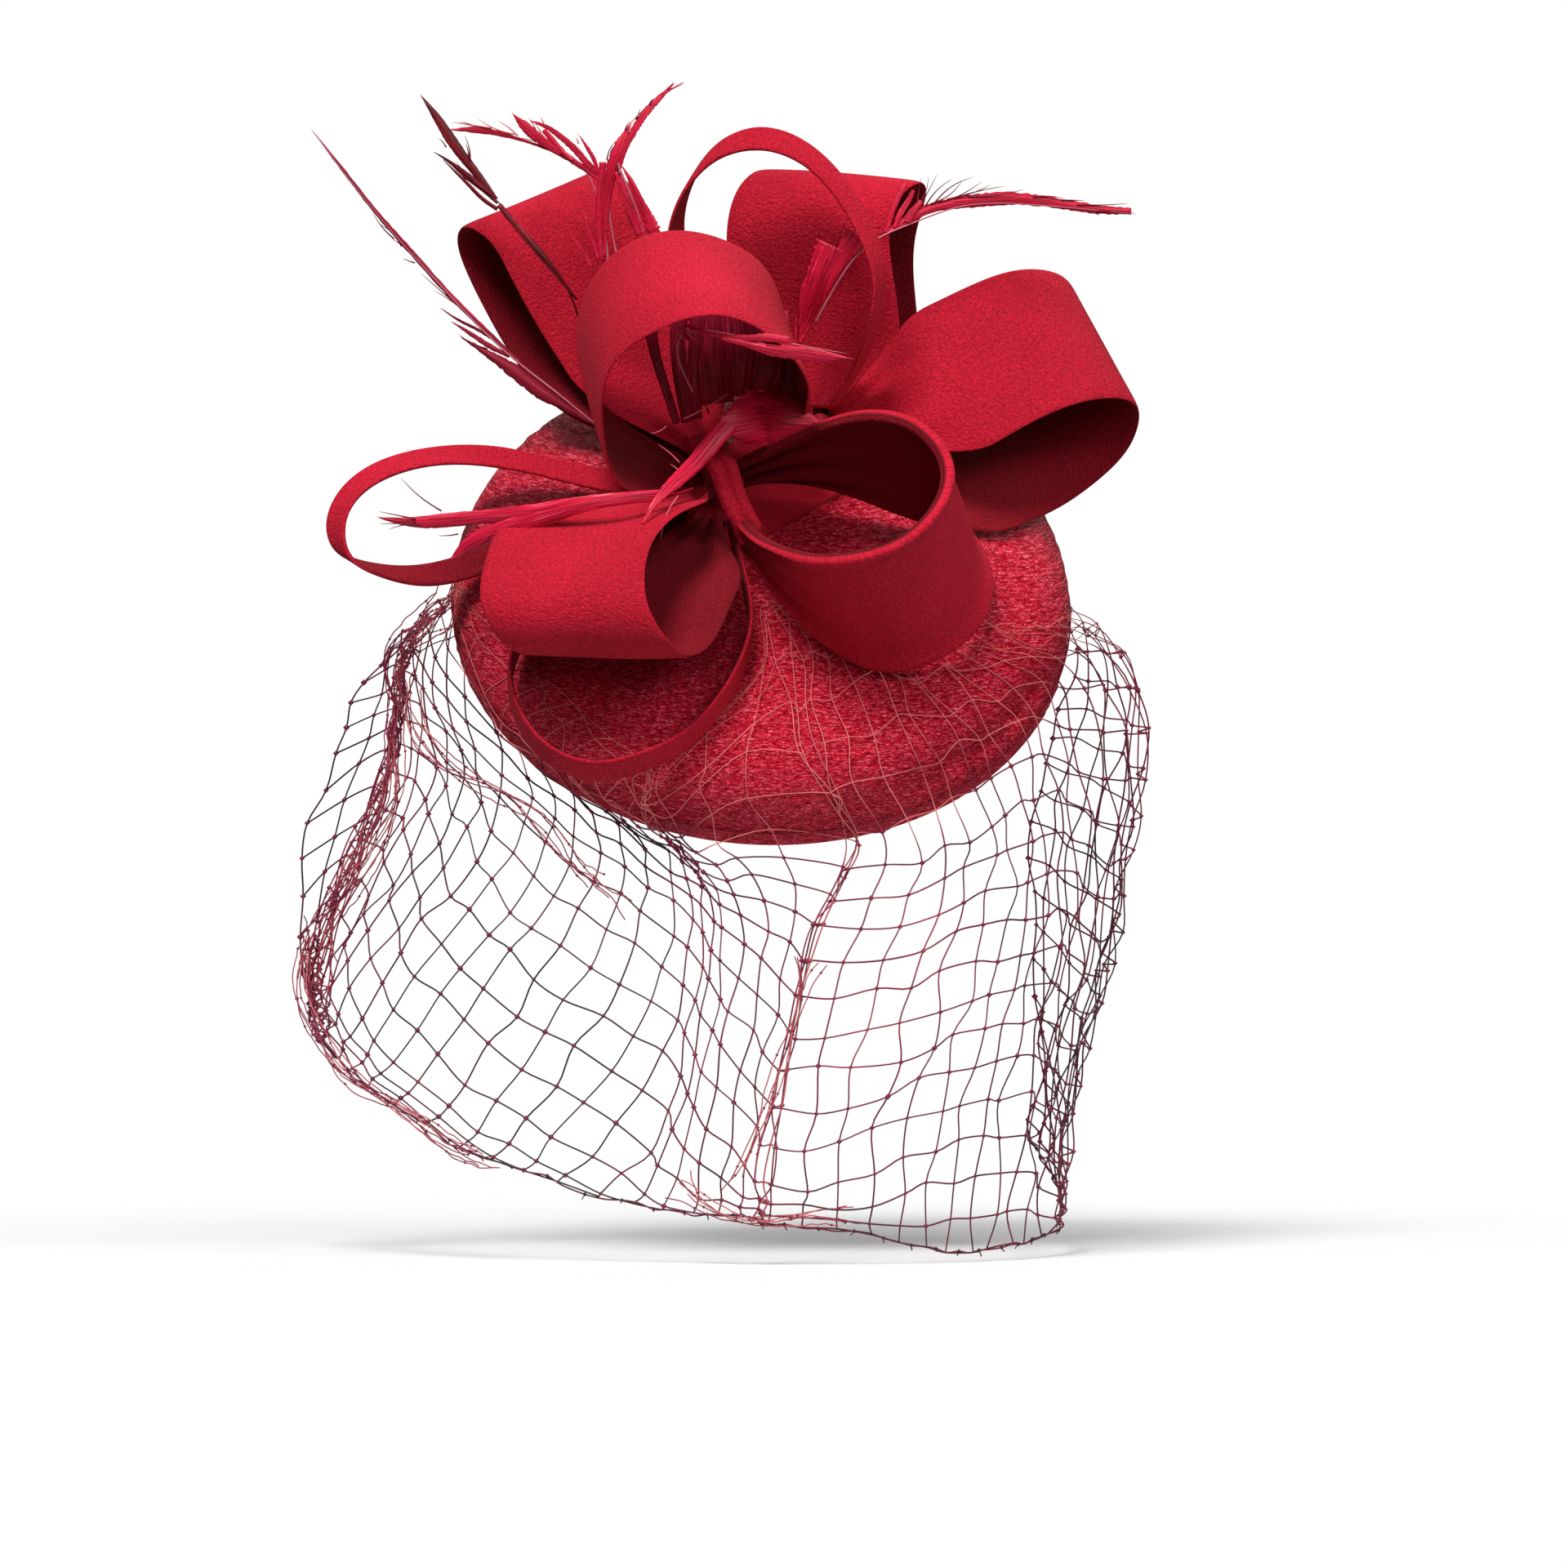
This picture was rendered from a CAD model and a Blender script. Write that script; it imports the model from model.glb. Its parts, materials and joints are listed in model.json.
import json
import math
import bpy
import numpy as np
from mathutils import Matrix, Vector
from mathutils.bvhtree import BVHTree

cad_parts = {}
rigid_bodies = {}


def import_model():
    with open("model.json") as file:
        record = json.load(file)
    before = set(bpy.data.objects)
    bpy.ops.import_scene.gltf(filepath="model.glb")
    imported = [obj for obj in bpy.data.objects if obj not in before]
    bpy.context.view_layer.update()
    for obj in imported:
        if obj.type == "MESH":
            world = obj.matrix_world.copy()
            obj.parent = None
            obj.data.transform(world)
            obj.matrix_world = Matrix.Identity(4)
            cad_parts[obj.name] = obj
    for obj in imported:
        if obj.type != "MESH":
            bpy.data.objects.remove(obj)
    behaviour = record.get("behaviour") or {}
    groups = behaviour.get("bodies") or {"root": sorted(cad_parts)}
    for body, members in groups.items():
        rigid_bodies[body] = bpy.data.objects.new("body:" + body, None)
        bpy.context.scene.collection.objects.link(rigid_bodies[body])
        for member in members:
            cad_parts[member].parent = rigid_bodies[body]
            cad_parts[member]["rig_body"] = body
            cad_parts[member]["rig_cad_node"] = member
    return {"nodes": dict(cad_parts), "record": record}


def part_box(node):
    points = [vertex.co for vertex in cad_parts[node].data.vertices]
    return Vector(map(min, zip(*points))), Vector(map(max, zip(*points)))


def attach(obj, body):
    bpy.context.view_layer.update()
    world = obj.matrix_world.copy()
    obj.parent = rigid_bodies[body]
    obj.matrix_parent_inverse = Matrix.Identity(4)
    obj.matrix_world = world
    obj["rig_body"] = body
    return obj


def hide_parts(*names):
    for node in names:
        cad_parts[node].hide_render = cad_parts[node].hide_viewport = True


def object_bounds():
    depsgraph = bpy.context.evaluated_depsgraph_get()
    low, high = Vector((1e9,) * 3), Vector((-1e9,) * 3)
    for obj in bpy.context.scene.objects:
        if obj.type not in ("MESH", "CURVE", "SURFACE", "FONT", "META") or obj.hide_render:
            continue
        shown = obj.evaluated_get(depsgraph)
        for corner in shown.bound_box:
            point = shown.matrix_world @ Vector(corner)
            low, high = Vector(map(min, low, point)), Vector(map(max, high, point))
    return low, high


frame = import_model()
cad_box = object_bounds()
MM = 0.001

# ---- sizes, in millimetres ------------------------------------------------------
HAT_RADIUS = 102.0
CROWN_HEIGHT = 33.0
CROWN_SPHERE = 507.5
EDGE_RADIUS = 18.0
WIDE_RIBBON = 56.0
NARROW_RIBBON = 10.0
CELL = 12.5
FLOOR_GAP = 4.0
# How far the pattern of a ribbon's back is shifted along its UVs, which tells it from the face.
REVERSE_SHIFT = 100.0
# Points a curve is worked out at, for each point it is given by.
FINE_STEPS = 24

# ---- frame of the tilted base ---------------------------------------------------
opening = next(m for m in frame["record"]["mounts"] if m["name"] == "head_opening")
AXIS = -np.array(opening["axis"], float)
AXIS /= np.linalg.norm(AXIS)
ACROSS = np.array([1.0, 0, 0]) - AXIS * AXIS[0]
ACROSS /= np.linalg.norm(ACROSS)
UPHILL = np.cross(AXIS, ACROSS)
HAT = np.array([ACROSS, UPHILL, AXIS])


def to_world(local):
    """From the base's own frame (across, uphill, up through the crown) to the part's."""
    return np.asarray(local, float) @ HAT


# ---- curves and meshes ----------------------------------------------------------
def unit(v):
    return v / np.maximum(np.linalg.norm(v, axis=-1, keepdims=True), 1e-9)


def smooth(x):
    x = np.clip(x, 0, 1)
    return x * x * (3 - 2 * x)


def at_places(places, rows, marks=None):
    """Rows of a list of points at places along it, measured by marks or else by whole steps."""
    marks = np.arange(len(rows)) if marks is None else marks
    return np.array([np.interp(places, marks, column) for column in rows.T]).T


def natural_spline(knots, values, where):
    """Natural cubic spline through values (n, d) at knots, evaluated at where."""
    n = len(knots)
    h = np.diff(knots)
    left = np.zeros((n, n))
    right = np.zeros(values.shape)
    left[0, 0] = left[-1, -1] = 1
    for k in range(1, n - 1):
        left[k, k - 1:k + 2] = h[k - 1], 2 * (h[k - 1] + h[k]), h[k]
        right[k] = 6 * ((values[k + 1] - values[k]) / h[k] - (values[k] - values[k - 1]) / h[k - 1])
    bend = np.linalg.solve(left, right)
    cell = np.clip(np.searchsorted(knots, where, side="right") - 1, 0, n - 2)
    a = ((knots[cell + 1] - where) / h[cell])[:, None]
    b = 1 - a
    step = (h[cell] ** 2)[:, None] / 6
    line = a * values[cell] + b * values[cell + 1]
    return line + ((a**3 - a) * bend[cell] + (b**3 - b) * bend[cell + 1]) * step


def curve(points, count):
    """Smooth curve through points: count places evenly spaced along it, and its length."""
    points = np.array(points, float)
    knots = np.r_[0, np.cumsum(np.linalg.norm(np.diff(points, axis=0), axis=1))]
    fine = natural_spline(knots, points, np.linspace(0, knots[-1], FINE_STEPS * len(points)))
    run = np.r_[0, np.cumsum(np.linalg.norm(np.diff(fine, axis=0), axis=1))]
    even = np.linspace(0, run[-1], count)
    return at_places(even, fine, run), run[-1]


def new_object(name, data, at=(0, 0, 0)):
    """A new object in the scene, with its location in metres."""
    obj = bpy.data.objects.new(name, data)
    obj.location = at
    bpy.context.scene.collection.objects.link(obj)
    return obj


class Pile:
    """Collects many small pieces of mesh into one object."""

    def __init__(self):
        self.verts = []
        self.faces = []
        self.uvs = []
        self.count = 0

    def add(self, verts, faces, uv=(0, 0)):
        """uv is one pair per vertex, or one pair for the whole piece."""
        self.verts.append(np.asarray(verts, float))
        self.faces += [tuple(i + self.count for i in f) for f in faces]
        self.uvs.append(np.broadcast_to(np.asarray(uv, float), (len(verts), 2)))
        self.count += len(verts)

    def make(self, name, material, stands_for=(), slot=None):
        mesh = bpy.data.meshes.new(name)
        verts = np.concatenate(self.verts) * MM
        mesh.from_pydata(verts.tolist(), [], self.faces)
        mesh.materials.append(material)
        mesh.polygons.foreach_set("use_smooth", [True] * len(mesh.polygons))
        layer = mesh.uv_layers.new(name="cloth")
        uv = np.concatenate(self.uvs)
        index = np.empty(len(mesh.loops), np.int32)
        mesh.loops.foreach_get("vertex_index", index)
        layer.data.foreach_set("uv", uv[index].astype(np.float32).ravel())
        obj = new_object(name, mesh)
        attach(obj, "hat")
        if stands_for:
            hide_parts(*stands_for)
        return obj


def grid_faces(rows, cols, wrap=False):
    """Four-sided faces between neighbouring rows of points; wrap closes each row on itself."""
    faces = []
    for i in range(rows - 1):
        for j in range(cols if wrap else cols - 1):
            k = (j + 1) % cols
            faces.append((i * cols + j, i * cols + k, (i + 1) * cols + k, (i + 1) * cols + j))
    return faces


def capped_faces(rows, cols):
    """Faces of a closed tube of rings, with both ends filled in."""
    ends = [tuple(range(cols - 1, -1, -1)), tuple(range((rows - 1) * cols, rows * cols))]
    return grid_faces(rows, cols, wrap=True) + ends


def tube(pile, path, radius, sides=5, uv=(0, 0)):
    """Round thread along path; radius is one number or one per point."""
    path = np.asarray(path, float)
    radius = np.broadcast_to(np.asarray(radius, float), (len(path),))
    run = unit(np.gradient(path, axis=0))
    guide = np.array([0.31, 0.21, 0.93]) if abs(run[0][2]) < 0.9 else np.array([0.93, 0.31, 0.21])
    side = np.empty_like(path)
    now = guide
    for k in range(len(path)):
        now = unit(now - run[k] * (now @ run[k]))
        side[k] = now
    up = np.cross(run, side)
    turn = np.arange(sides) * 2 * math.pi / sides
    ring = side[:, None] * np.cos(turn)[None, :, None] + up[:, None] * np.sin(turn)[None, :, None]
    verts = (path[:, None] + ring * radius[:, None, None]).reshape(-1, 3)
    pile.add(verts, capped_faces(len(path), sides), uv)


def bead(pile, at, size, uv=(0, 0)):
    """Small knot: an octahedron; size is half its width."""
    ends = np.array([[1, 0, 0], [-1, 0, 0], [0, 1, 0], [0, -1, 0], [0, 0, 1], [0, 0, -1]], float)
    faces = [(0, 2, 4), (2, 1, 4), (1, 3, 4), (3, 0, 4), (2, 0, 5), (1, 2, 5), (3, 1, 5), (0, 3, 5)]
    pile.add(at + ends * size, faces, uv)


# ---- materials -------------------------------------------------------------------
def rgba(color):
    return (*color, 1)


class Look:
    """A material and its nodes. Inputs are given by name: a number, a colour or a node's output."""

    def __init__(self, name):
        self.material = bpy.data.materials.new(name)
        self.material.use_nodes = True
        self.nodes = self.material.node_tree.nodes
        self.links = self.material.node_tree.links
        self.shader = self.nodes["Principled BSDF"]
        self.where = self.add("TexCoord").outputs

    def fill(self, node, **inputs):
        """Base_Color fills the input Base Color, and _0 the first input."""
        for key, value in inputs.items():
            socket = node.inputs[int(key[1:]) if key[0] == "_" else key.replace("_", " ")]
            if isinstance(value, bpy.types.NodeSocket):
                self.links.new(value, socket)
            else:
                socket.default_value = value

    def add(self, kind, settings=(), **inputs):
        node = self.nodes.new("ShaderNode" + kind)
        for key, value in dict(settings).items():
            setattr(node, key, value)
        self.fill(node, **inputs)
        return node

    def noise(self, vector, scale, detail=2, **inputs):
        return self.add("TexNoise", Vector=vector, Scale=scale, Detail=detail, **inputs).outputs

    def stretched(self, vector, scale):
        return self.add("Mapping", Vector=vector, Scale=scale).outputs["Vector"]

    def math(self, operation, *values, clamp=False):
        inputs = {f"_{k}": value for k, value in enumerate(values)}
        return self.add("Math", dict(operation=operation, use_clamp=clamp), **inputs).outputs[0]

    def mix(self, factor, low, high, blend_type="MIX"):
        settings = dict(data_type="RGBA", blend_type=blend_type)
        return self.add("Mix", settings, _0=factor, _6=low, _7=high).outputs[2]

    def ramp(self, factor, *stops):
        """Colour ramp through stops, each a place and a colour."""
        node = self.add("ValToRGB", Fac=factor)
        elements = node.color_ramp.elements
        for element, (place, color) in zip(elements, (stops[0], stops[-1])):
            element.position = place
            element.color = rgba(color)
        for place, color in stops[1:-1]:
            elements.new(place).color = rgba(color)
        return node.outputs["Color"]

    def bump(self, height, **inputs):
        node = self.add("Bump", Height=height, **inputs)
        self.fill(self.shader, Normal=node.outputs["Normal"])

    def finish(self, color, **inputs):
        self.fill(self.shader, Base_Color=color, **inputs)
        return self.material


def cloth(name, low, high, rough=0.75, sheen=0.4, sheen_tint=(1, 0.5, 0.55), grain=(900, 900, 900),
          bump=0.2, on_uv=False, shine=0.2, reverse=1.0, relief=0.4):
    """Woven cloth: blotchy colour, fine grain bump and a soft sheen."""
    look = Look(name)
    cloud = look.noise(look.where["Object"], 18, detail=5)["Fac"]
    weave = look.stretched(look.where["UV" if on_uv else "Object"], grain)
    fine = look.noise(weave, 1, Distortion=0.8)["Fac"]
    tone = look.math("MULTIPLY_ADD", fine, 1.6, look.math("SUBTRACT", cloud, 0.8), clamp=True)
    color = look.mix(tone, rgba(low), rgba(high))
    if reverse < 1:
        # The back of the ribbon, whose UVs are shifted by REVERSE_SHIFT, is duller than its face.
        split = look.add("SeparateXYZ", _0=look.where["UV"])
        back = look.math("GREATER_THAN", split.outputs[0], REVERSE_SHIFT / 2)
        color = look.mix(back, color, (reverse, reverse * 0.7, reverse * 0.8, 1), "MULTIPLY")
    look.bump(fine, Strength=bump, Distance=relief * MM)
    return look.finish(color, Roughness=rough, Sheen_Weight=sheen, Sheen_Roughness=0.5,
                       Sheen_Tint=rgba(sheen_tint), Specular_IOR_Level=shine)


def crinkled(name):
    """Lustrous cloth with fine creases that catch the light."""
    look = Look(name)
    place = look.stretched(look.where["UV"], (1.0, 2.4, 1.0))
    crease = look.noise(place, 24, Roughness=0.55, Distortion=0.5)
    settings = dict(operation="MULTIPLY_ADD")
    warp = look.add("VectorMath", settings, _0=crease["Color"], _1=(0.12, 0.12, 0.12), _2=place)
    ridge = look.add("TexVoronoi", dict(feature="DISTANCE_TO_EDGE"), Scale=27, Vector=warp.outputs[0])
    fold = look.math("MULTIPLY_ADD", ridge.outputs["Distance"], 1.3, crease["Fac"])
    color = look.ramp(look.math("MULTIPLY", fold, 0.76), (0.36, (0.28, 0.001, 0.010)),
                      (0.54, (0.86, 0.008, 0.040)), (0.72, (1.0, 0.16, 0.23)))
    look.bump(fold, Strength=1.0, Distance=0.7 * MM)
    return look.finish(color, Roughness=0.42, IOR=1.35, Specular_IOR_Level=0.35,
                       Specular_Tint=rgba((1.0, 0.45, 0.52)))


def strand_material(name, low, high, rough=0.45, scale=60):
    """Thread, barb or wire: colour that shifts along it and a dull shine."""
    look = Look(name)
    cloud = look.noise(look.where["Object"], scale, detail=3)["Fac"]
    return look.finish(look.mix(cloud, rgba(low), rgba(high)), Roughness=rough, Specular_IOR_Level=0.3)


def vane_material(name, dark, mid, bright, edge):
    """Closed feather vane: streaks along it, dark between the barbs and pale where they catch light."""
    look = Look(name)
    streaks = look.noise(look.stretched(look.where["UV"], (2.1, 0.06, 1)), 1, detail=3)["Fac"]
    color = look.ramp(streaks, (0.34, dark), (0.46, mid), (0.62, bright), (0.72, edge))
    look.bump(streaks, Strength=0.5, Distance=0.3 * MM)
    return look.finish(color, Roughness=0.42, Specular_IOR_Level=0.35)


def net_material(name):
    """Fine dyed net thread, near black where single and crimson where it bunches or lies on the hat."""
    look = Look(name)
    shade = look.add("SeparateXYZ", _0=look.where["UV"]).outputs[0]
    cloud = look.noise(look.where["Object"], 70)["Fac"]
    tone = look.math("MULTIPLY_ADD", cloud, 0.5, look.math("SUBTRACT", shade, 0.25), clamp=True)
    color = look.ramp(tone, (0, (0.018, 0.003, 0.006)), (0.55, (0.28, 0.008, 0.055)), (1, (0.82, 0.20, 0.19)))
    return look.finish(color, Roughness=0.42)


def plastic(name, color):
    """Clear tinted moulded plastic with a fine ripple in its surface."""
    look = Look(name)
    ripple = look.noise(look.where["Object"], 120)["Fac"]
    look.bump(ripple, Strength=0.05)
    tint = look.mix(ripple, rgba(color), rgba([c * 1.25 for c in color]))
    return look.finish(tint, Roughness=0.16, Transmission_Weight=0.35, Coat_Weight=0.4)


def metal(name, color, rough):
    """Metal with fine scratches that vary its gloss."""
    look = Look(name)
    scratch = look.noise(look.where["Object"], 400, detail=6)["Fac"]
    gloss = look.add("MapRange", Value=scratch, To_Min=rough * 0.7, To_Max=rough * 1.5)
    look.bump(scratch, Strength=0.08)
    return look.finish(rgba(color), Roughness=gloss.outputs["Result"], Metallic=1)


RIBBON = cloth("ribbon_crepe", (0.33, 0.002, 0.012), (0.76, 0.012, 0.044), rough=0.8, sheen=0.10,
               sheen_tint=(1, 0.2, 0.25), grain=(10, 10, 1), bump=1.0, on_uv=True, shine=0.16,
               reverse=0.42, relief=0.9)
COVER = crinkled("cover_crinkle")
SATIN = cloth("lining_satin", (0.22, 0.003, 0.012), (0.34, 0.006, 0.022), rough=0.35, sheen=0.1,
              bump=0.15, shine=0.5)
PETERSHAM = cloth("petersham", (0.16, 0.002, 0.010), (0.24, 0.004, 0.016), rough=0.7, bump=0.3)
FELT = cloth("felt", (0.36, 0.003, 0.014), (0.54, 0.007, 0.030), rough=0.95, sheen=0.1, bump=0.6,
             grain=(500, 500, 500))
BUCKRAM = cloth("buckram", (0.70, 0.66, 0.58), (0.84, 0.80, 0.72), rough=0.9, bump=0.5,
                grain=(1500, 1500, 200))
NET = net_material("net_thread")
SEAM_THREAD = strand_material("seam_thread", (0.55, 0.10, 0.10), (0.72, 0.25, 0.20), rough=0.6)
THREAD = strand_material("sewing_thread", (0.30, 0.004, 0.02), (0.45, 0.01, 0.04), rough=0.6)
VANE = vane_material("feather_vane", (0.24, 0.001, 0.014), (0.68, 0.004, 0.042), (0.84, 0.014, 0.070),
                     (0.90, 0.12, 0.20))
INNER_VANE = vane_material("feather_inner_dark", (0.12, 0.001, 0.008), (0.34, 0.003, 0.026),
                           (0.50, 0.010, 0.055), (0.66, 0.10, 0.16))
DARK_VANE = vane_material("feather_dark", (0.03, 0.0003, 0.001), (0.10, 0.001, 0.003),
                          (0.30, 0.002, 0.015), (0.45, 0.02, 0.05))
PALE_BARB = strand_material("feather_barb_pale", (0.66, 0.04, 0.08), (0.84, 0.22, 0.26), scale=90)
DARK_BARB = strand_material("feather_barb_dark", (0.10, 0.002, 0.010), (0.34, 0.004, 0.030), scale=90)
QUILL = strand_material("feather_quill", (0.50, 0.06, 0.10), (0.78, 0.30, 0.38), rough=0.35)
STEEL = metal("clip_steel", (0.75, 0.75, 0.77), 0.22)
COMB = plastic("comb_plastic", (0.36, 0.02, 0.05))
SPRING = metal("spring_wire", (0.62, 0.62, 0.64), 0.3)

# ---- hat base --------------------------------------------------------------------
sphere_mid = CROWN_HEIGHT - CROWN_SPHERE
edge_r = HAT_RADIUS - EDGE_RADIUS
edge_h = sphere_mid + math.sqrt((CROWN_SPHERE - EDGE_RADIUS) ** 2 - edge_r**2)
meet = math.atan2(edge_r, edge_h - sphere_mid)

# Dents pressed into the rim: angle round the base, spread in degrees, depth in mm, height on the wall.
DENTS = [(-26, 3.2, 3.4, 15), (-34, 3.4, 5.0, 15), (-43, 3.0, 4.8, 14), (-51, 3.4, 4.0, 16),
         (-60, 4, 2.4, 14), (-72, 5, 1.2, 14), (-140, 7, 1.0, 12)]
DENT_HEIGHT = 7
BAND_TOP = 8
# Creases of the cover: how many waves, their length in mm, the height in mm of one that is 1 mm long, the
# deepest they go, the spread of their direction in radians, and how fast the pattern runs down the wall.
CREASE_WAVES = 70
CREASE_LENGTH = (2.2, 9.0)
CREASE_HEIGHT = 0.011
DEEPEST_CREASE = -0.45
CREASE_SPREAD = 0.75
FALL = 1.4
# The turned edge of the cover, from the wall down, under the rim and up inside it: radius, height.
TURNED_EDGE = [(101.8, -0.45), (101.2, -0.7), (99.7, -0.7), (99.15, -0.4), (99.1, 3.5), (99.1, 7.0),
               (99.8, 7.0), (99.8, 0.0), (101.2, 0.0)]
# Section of the band inside the rim: radius, height, and how much of the ribs' relief shows there.
BAND_SECTION = [(98.9, 0.8, 0), (98.9, 10.2, 0), (98.5, 10.4, 0.3), (98.2, 10.1, 1), (98.2, 5.5, 1),
                (98.2, 0.9, 1), (98.5, 0.6, 0.3)]


def round_turn(turns):
    return np.arange(turns) * 2 * math.pi / turns


def ring(radius, height, turn):
    return np.stack([radius * np.cos(turn), radius * np.sin(turn), np.full(len(turn), height)], -1)


def profile(inset, steps):
    """Radius, height and normal angle down the crown, round the edge and down the wall."""
    ball, bend = CROWN_SPHERE - inset, EDGE_RADIUS - inset
    lengths = np.array([ball * meet, bend * (math.pi / 2 - meet), edge_h])
    ends = np.cumsum(lengths)
    rows = []
    for along in np.linspace(0, ends[-1], steps):
        if along < ends[0]:
            a = along / ball
            rows.append((ball * math.sin(a), sphere_mid + ball * math.cos(a), a))
        elif along < ends[1]:
            a = meet + (along - ends[0]) / bend
            rows.append((edge_r + bend * math.sin(a), edge_h + bend * math.cos(a), a))
        else:
            rows.append((HAT_RADIUS - inset, edge_h - (along - ends[1]), math.pi / 2))
    return np.array(rows)


def creases(u, v, h):
    """Sum of many short waves, mostly running across the front."""
    total = np.zeros_like(u)
    waves = np.random.default_rng(3)
    for _ in range(CREASE_WAVES):
        length = waves.uniform(*CREASE_LENGTH)
        turn = waves.normal(math.pi / 2, CREASE_SPREAD)
        shift = waves.uniform(0, 2 * math.pi)
        bend = 2.5 * np.sin(u * waves.uniform(0.03, 0.12) + waves.uniform(0, 6)) * np.sin(
            v * waves.uniform(0.03, 0.12) + waves.uniform(0, 6))
        across = u * math.cos(turn) + (v + FALL * h) * math.sin(turn)
        phase = across * 2 * math.pi / length
        patch = 0.5 + 0.5 * np.sin(u * waves.uniform(0.02, 0.09) + v * waves.uniform(0.02, 0.09) + shift)
        total += np.sin(phase + bend + shift) * patch * CREASE_HEIGHT * math.sqrt(length)
    return total


def hat_layer(inset, steps, turns, rough=0.0, lowest=-1.0):
    """One dented skin of the base, inset from the outside; rough adds the crinkle of the cloth."""
    rows = profile(inset, steps)
    rows = rows[rows[:, 1] >= lowest]
    turn = round_turn(turns)
    r, h, lean = rows[:, 0:1], rows[:, 1:2], rows[:, 2:3]
    u, v = r * np.cos(turn), r * np.sin(turn)
    hh = np.broadcast_to(h, u.shape)
    push = np.maximum(rough * creases(u, v, hh), DEEPEST_CREASE)
    above_band = smooth((hh - BAND_TOP) / 6)
    for angle, spread, depth, level in DENTS:
        away = np.degrees(np.angle(np.exp(1j * (turn - math.radians(angle)))))
        dent = np.exp(-(away / spread) ** 2) * np.exp(-((hh - level) / DENT_HEIGHT) ** 2)
        push = push - depth * dent * above_band
    out = np.stack([np.sin(lean) * np.cos(turn), np.sin(lean) * np.sin(turn),
                    np.broadcast_to(np.cos(lean), u.shape)], -1)
    return np.stack([u, v, hh], -1) + out * push[..., None]


def closed_shell(name, outer, inner, material, node, slot, edge=(), fall=0.0):
    """Two matching skins joined through the rings of edge and closed at the middle.

    fall is how fast the cloth's pattern runs down the wall."""
    turns = outer.shape[1]
    surface = np.concatenate([outer[1:], *[part[None] for part in edge], inner[:0:-1]])
    verts = np.concatenate([surface.reshape(-1, 3), outer[0, :1], inner[0, :1]])
    rows = len(surface)
    faces = grid_faces(rows, turns, wrap=True)
    for j in range(turns):
        k = (j + 1) % turns
        faces.append((rows * turns, k, j))
        faces.append(((rows - 1) * turns + j, (rows - 1) * turns + k, rows * turns + 1))
    uv = np.stack([verts[:, 0], verts[:, 1] + fall * verts[:, 2]], -1) / 60
    pile = Pile()
    pile.add(to_world(verts), [f[::-1] for f in faces], uv)
    return pile.make(name, material, stands_for=[node], slot=slot)


def make_cover():
    turns, steps = 640, 170
    edge = [ring(radius, height, round_turn(turns)) for radius, height in TURNED_EDGE]
    outer = hat_layer(0.0, steps, turns, rough=1.0)
    inner = hat_layer(0.65, steps, turns)
    return closed_shell("crinkled_cover", outer, inner, COVER, "fabric_cover", "cover_cloth", edge, fall=FALL)


def make_stiffener():
    outer = hat_layer(0.85, 90, 260, lowest=0.0)
    inner = hat_layer(1.7, 90, 260, lowest=0.0)
    closed_shell("dented_stiffener", outer, inner, BUCKRAM, "buckram_shell", "buckram")


def make_lining():
    """Satin drawn into small radial pleats towards the middle of the crown."""
    turns, steps = 360, 60
    turn = round_turn(turns)
    pleats = 45
    shells = []
    for inset, ripple in [(2.3, 0.0), (2.6, 0.22)]:
        skin = hat_layer(inset, steps, turns, lowest=7.4)
        out = unit(skin - np.array([0, 0, sphere_mid]))
        reach = np.linalg.norm(skin[..., :2], axis=-1)
        wave = ripple * (1 + np.sin(turn * pleats + 0.6 * np.sin(turn * 7))) * smooth(reach / 60)
        shells.append(skin - out * wave[..., None])
    closed_shell("satin_lining", *shells, SATIN, "lining", "lining_cloth")


def make_band():
    """Ribbed ribbon round the inside of the rim."""
    ribs, per_rib = 300, 4
    turns = ribs * per_rib
    turn = round_turn(turns)
    relief = 0.12
    wave = relief * np.cos(turn * ribs)
    rings = [ring(radius + wave * share, height, turn) for radius, height, share in BAND_SECTION]
    faces = grid_faces(len(rings), turns, wrap=True)
    last = (len(rings) - 1) * turns
    faces += [(last + j, last + (j + 1) % turns, (j + 1) % turns, j) for j in range(turns)]
    pile = Pile()
    pile.add(to_world(np.concatenate(rings)), faces)
    pile.make("ribbed_band", PETERSHAM, stands_for=["inner_ribbon"], slot="petersham")


FELT_VOXEL = 0.6
FELT_NAP = 0.03


def felt_block(name, node):
    """A felt pad: the CAD node's own outline with softened corners and a nap."""
    source = frame["nodes"][node]
    pad = source.copy()
    pad.data = source.data.copy()
    pad.name = name
    pad.parent = None
    bpy.context.scene.collection.objects.link(pad)
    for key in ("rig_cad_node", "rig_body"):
        if key in pad:
            del pad[key]
    remesh = pad.modifiers.new("nap", "REMESH")
    remesh.mode = "VOXEL"
    remesh.voxel_size = FELT_VOXEL * MM
    bpy.context.view_layer.update()
    baked = bpy.data.meshes.new_from_object(pad.evaluated_get(bpy.context.evaluated_depsgraph_get()))
    pad.modifiers.clear()
    pad.data = baked
    normals = np.empty(len(baked.vertices) * 3)
    baked.vertices.foreach_get("normal", normals)
    places = np.empty_like(normals)
    baked.vertices.foreach_get("co", places)
    fuzz = np.random.default_rng(5).normal(0, FELT_NAP * MM, (len(baked.vertices), 1))
    baked.vertices.foreach_set("co", (places.reshape(-1, 3) + normals.reshape(-1, 3) * fuzz).ravel())
    baked.materials.clear()
    baked.materials.append(FELT)
    baked.polygons.foreach_set("use_smooth", [True] * len(baked.polygons))
    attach(pad, "hat")
    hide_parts(node)


FAR_IN_FRONT = -400
cover = make_cover()
cover_tree = BVHTree.FromPolygons(
    [v.co / MM for v in cover.data.vertices], [tuple(p.vertices) for p in cover.data.polygons]
)


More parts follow.
